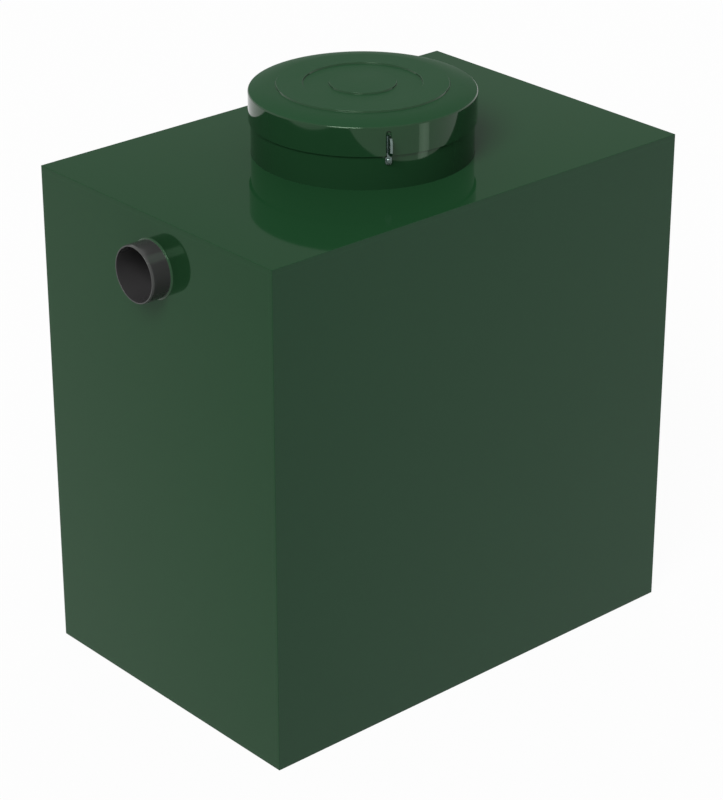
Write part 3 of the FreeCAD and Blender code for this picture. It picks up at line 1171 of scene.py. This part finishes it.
def makeStage():
    mesh = bpy.data.meshes.new("studio_floor")
    half = stageLook["floorSize"] / 2
    level = places["tankLow"].z
    corners = [(x * half, y * half, level) for x, y in ((-1, -1), (1, -1), (1, 1), (-1, 1))]
    mesh.from_pydata(corners, [], [(0, 1, 2, 3)])
    floor = linkPiece("studio_floor", mesh)
    material = bpy.data.materials.new("paleFloor")
    material.use_nodes = True
    tree = material.node_tree
    tree.nodes.clear()
    seen = seenDirectly(tree)
    share = worked(tree, "MULTIPLY", seen, stageLook["floorGlow"])
    matt = addNode(tree, "ShaderNodeBsdfDiffuse", {"Color": (*stageLook["floorColour"], 1)})
    glow = addNode(tree, "ShaderNodeEmission", {"Strength": 1.0})
    mixed = addNode(tree, "ShaderNodeMixShader", {0: share, 1: matt.outputs[0], 2: glow.outputs[0]})
    out = addNode(tree, "ShaderNodeOutputMaterial", {"Surface": mixed.outputs[0]})
    out.is_active_output = True
    mesh.materials.append(material)
    world = bpy.data.worlds.new("studio")
    world.use_nodes = True
    tree = world.node_tree
    tree.nodes.clear()
    seen = seenDirectly(tree)
    level = addNode(tree, "ShaderNodeMapRange", {"Value": seen, "To Min": stageLook["surroundLevel"],
                                                 "To Max": 1.0})
    back = addNode(tree, "ShaderNodeBackground", {"Color": (1, 1, 1, 1), "Strength": level.outputs[0]})
    addNode(tree, "ShaderNodeOutputWorld", {"Surface": back.outputs[0]})
    bpy.context.scene.world = world


lampLook = {  # direction towards the lamp, strength, softness in degrees, whether the gloss mirrors it
    "key_lamp": ((-0.65, -0.34, 0.68), 2.9, 30, True),
    "fill_lamp": ((0.62, 0.70, 0.30), 1.0, 60, False),
}
stripLook = {  # a narrow lamp low in front, seen only as the upright highlight on the lid's rim
    "spot": (0.638, -1.878, 0.430),
    "target": (-0.036, -0.211, 1.09),
    "width": 0.38,
    "height": 0.40,
    "power": 0.012,
    "spread": 25,
}


def makeStripLamp():
    light = bpy.data.lights.new("strip_lamp", "AREA")
    light.shape = "RECTANGLE"
    light.size = stripLook["width"]
    light.size_y = stripLook["height"]
    light.energy = stripLook["power"]
    light.spread = math.radians(stripLook["spread"])
    lamp = bpy.data.objects.new("strip_lamp", light)
    lamp.location = stripLook["spot"]
    lamp.rotation_mode = "QUATERNION"
    lamp.rotation_quaternion = (Vector(stripLook["target"]) - lamp.location).to_track_quat("-Z", "Y")
    lamp.visible_diffuse = False
    lamp.visible_camera = False
    bpy.context.scene.collection.objects.link(lamp)


def makeLamps():
    for name, (direction, strength, softness, mirrored) in lampLook.items():
        light = bpy.data.lights.new(name, "SUN")
        light.energy = strength
        light.angle = math.radians(softness)
        lamp = bpy.data.objects.new(name, light)
        lamp.rotation_mode = "QUATERNION"
        lamp.rotation_quaternion = Vector(direction).to_track_quat("Z", "Y")
        bpy.context.scene.collection.objects.link(lamp)
        lamp.visible_glossy = mirrored


cameraSetting = {
    "spot": (-3.24549, -3.65580, 2.82814),
    "azimuth": -41.5707,
    "elevation": 25.6681,
    "lens": 124.779,
    "sensorWidth": 36,
    "sight": 100,
}


def makeCamera():
    camera = bpy.data.cameras.new("view_camera")
    camera.sensor_fit = "AUTO"
    camera.sensor_width = cameraSetting["sensorWidth"]
    camera.lens = cameraSetting["lens"]
    camera.clip_end = cameraSetting["sight"]
    viewer = bpy.data.objects.new("view_camera", camera)
    bpy.context.scene.collection.objects.link(viewer)
    azimuth = math.radians(cameraSetting["azimuth"])
    elevation = math.radians(cameraSetting["elevation"])
    back = Vector((math.sin(azimuth) * math.cos(elevation), -math.cos(azimuth) * math.cos(elevation),
                   math.sin(elevation)))
    viewer.location = cameraSetting["spot"]
    viewer.rotation_mode = "QUATERNION"
    viewer.rotation_quaternion = (-back).to_track_quat("-Z", "Y")
    bpy.context.scene.camera = viewer


makeStage()
makeLamps()
makeStripLamp()
makeCamera()
bpy.context.scene.view_settings.view_transform = "Standard"
print("stage, lamps and camera made")
